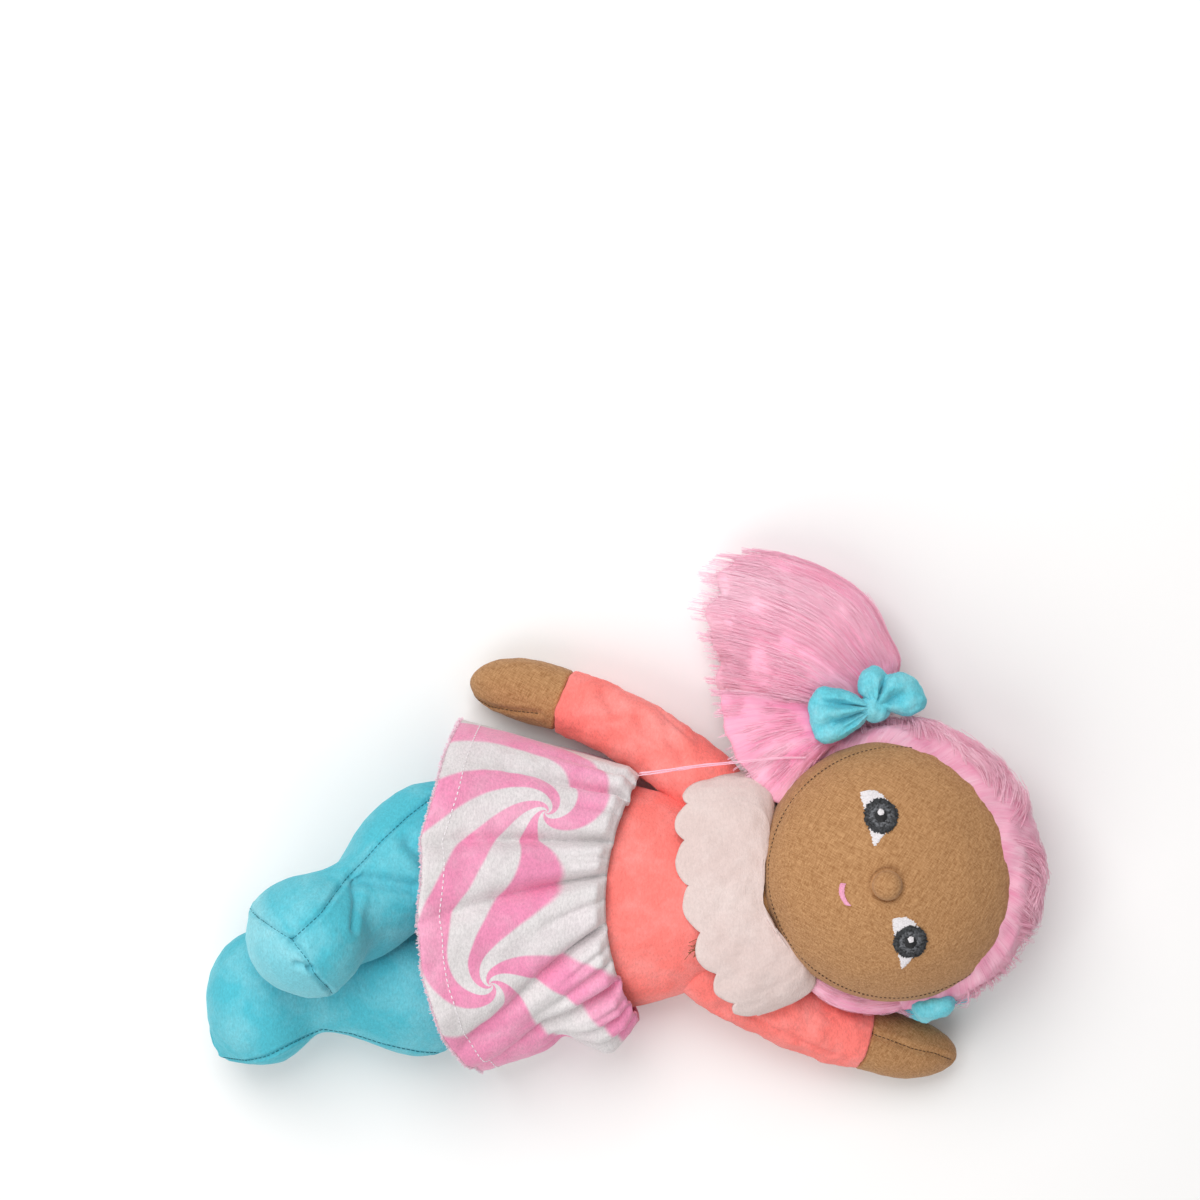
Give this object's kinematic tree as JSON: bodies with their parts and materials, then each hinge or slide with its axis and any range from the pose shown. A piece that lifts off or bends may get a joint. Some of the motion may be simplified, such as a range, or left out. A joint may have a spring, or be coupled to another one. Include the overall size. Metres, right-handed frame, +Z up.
{
  "type": "stuffed cloth doll",
  "caption": "Soft stuffed cloth doll lying on its back, with plush hair in bunches, bows, a scalloped collar, a gathered skirt and limbs that swing at their seams.",
  "frame": {"origin": "on the flat of the back that lies on the ground, below the middle of the bodice", "axes": "+X towards the crown of the head, +Y to the doll's right, +Z up from the back to the face"},
  "size_m": [0.3156, 0.2025, 0.0962],
  "materials": {
    "skin": "woven cotton",
    "coral": "velour",
    "turquoise": "velour",
    "plush": "long-pile plush",
    "cream": "velour",
    "print": "printed velour",
    "white": "embroidery thread",
    "grey": "embroidery thread",
    "black": "embroidery thread",
    "rose": "embroidery thread",
    "elastic": "elastic",
    "fibre": "polyester fibre"
  },
  "bodies": {
    "torso": {"bodice": "coral", "seat": "skin", "torso_stuffing": "fibre", "neck": "skin", "skirt_elastic": "elastic", "skirt": "print", "collar": "cream"},
    "head": {"face_panel": "skin", "hair_cap": "plush", "head_stuffing": "fibre", "mouth_stitch": "rose", "nose_pad": "skin", "eye_white_right": "white", "eye_iris_right": "grey", "eye_pupil_right": "black", "bow_knot_right": "turquoise", "bow_loop_upper_right": "turquoise", "bow_loop_lower_right": "turquoise", "eye_white_left": "white", "eye_iris_left": "grey", "eye_pupil_left": "black", "bow_knot_left": "turquoise", "bow_loop_upper_left": "turquoise", "bow_loop_lower_left": "turquoise"},
    "arm_right": {"sleeve_right": "coral", "hand_right": "skin", "arm_stuffing_right": "fibre"},
    "leg_right": {"leg_right": "turquoise", "sole_right": "turquoise", "leg_stuffing_right": "fibre"},
    "tail_right": {"ponytail_right": "plush", "hair_tie_right": "elastic"},
    "arm_left": {"sleeve_left": "coral", "hand_left": "skin", "arm_stuffing_left": "fibre"},
    "leg_left": {"leg_left": "turquoise", "sole_left": "turquoise", "leg_stuffing_left": "fibre"},
    "tail_left": {"ponytail_left": "plush", "hair_tie_left": "elastic"}
  },
  "joints": [
    {"name": "neck_nod", "type": "hinge", "parent": "torso", "child": "head", "pos_m": [0.036, -0.001, 0.036], "axis": [0, -1, 0], "range_deg": [0, 18]},
    {"name": "shoulder_right", "type": "hinge", "parent": "torso", "child": "arm_right", "pos_m": [0.019, 0.04, 0.027], "axis": [0, 0, 1], "range_deg": [-30, 0]},
    {"name": "shoulder_left", "type": "hinge", "parent": "torso", "child": "arm_left", "pos_m": [0.019, -0.0275, 0.027], "axis": [0, 0, 1], "range_deg": [-85, 0]},
    {"name": "hip_right", "type": "hinge", "parent": "torso", "child": "leg_right", "pos_m": [-0.05, 0.031, 0.027], "axis": [0.06, 0.4899, 0.8697], "range_deg": [-38, 0]},
    {"name": "hip_left", "type": "hinge", "parent": "torso", "child": "leg_left", "pos_m": [-0.05, -0.03, 0.027], "axis": [0, 0, 1], "range_deg": [0, 14]},
    {"name": "tail_right", "type": "hinge", "parent": "head", "child": "tail_right", "pos_m": [0.07246, 0.06867, 0.03], "axis": [0, 0, 1], "range_deg": [-25, 0]},
    {"name": "tail_left", "type": "hinge", "parent": "head", "child": "tail_left", "pos_m": [0.1037, -0.03391, 0.009], "axis": [0, -1, 0], "range_deg": [0, 35]}
  ]
}
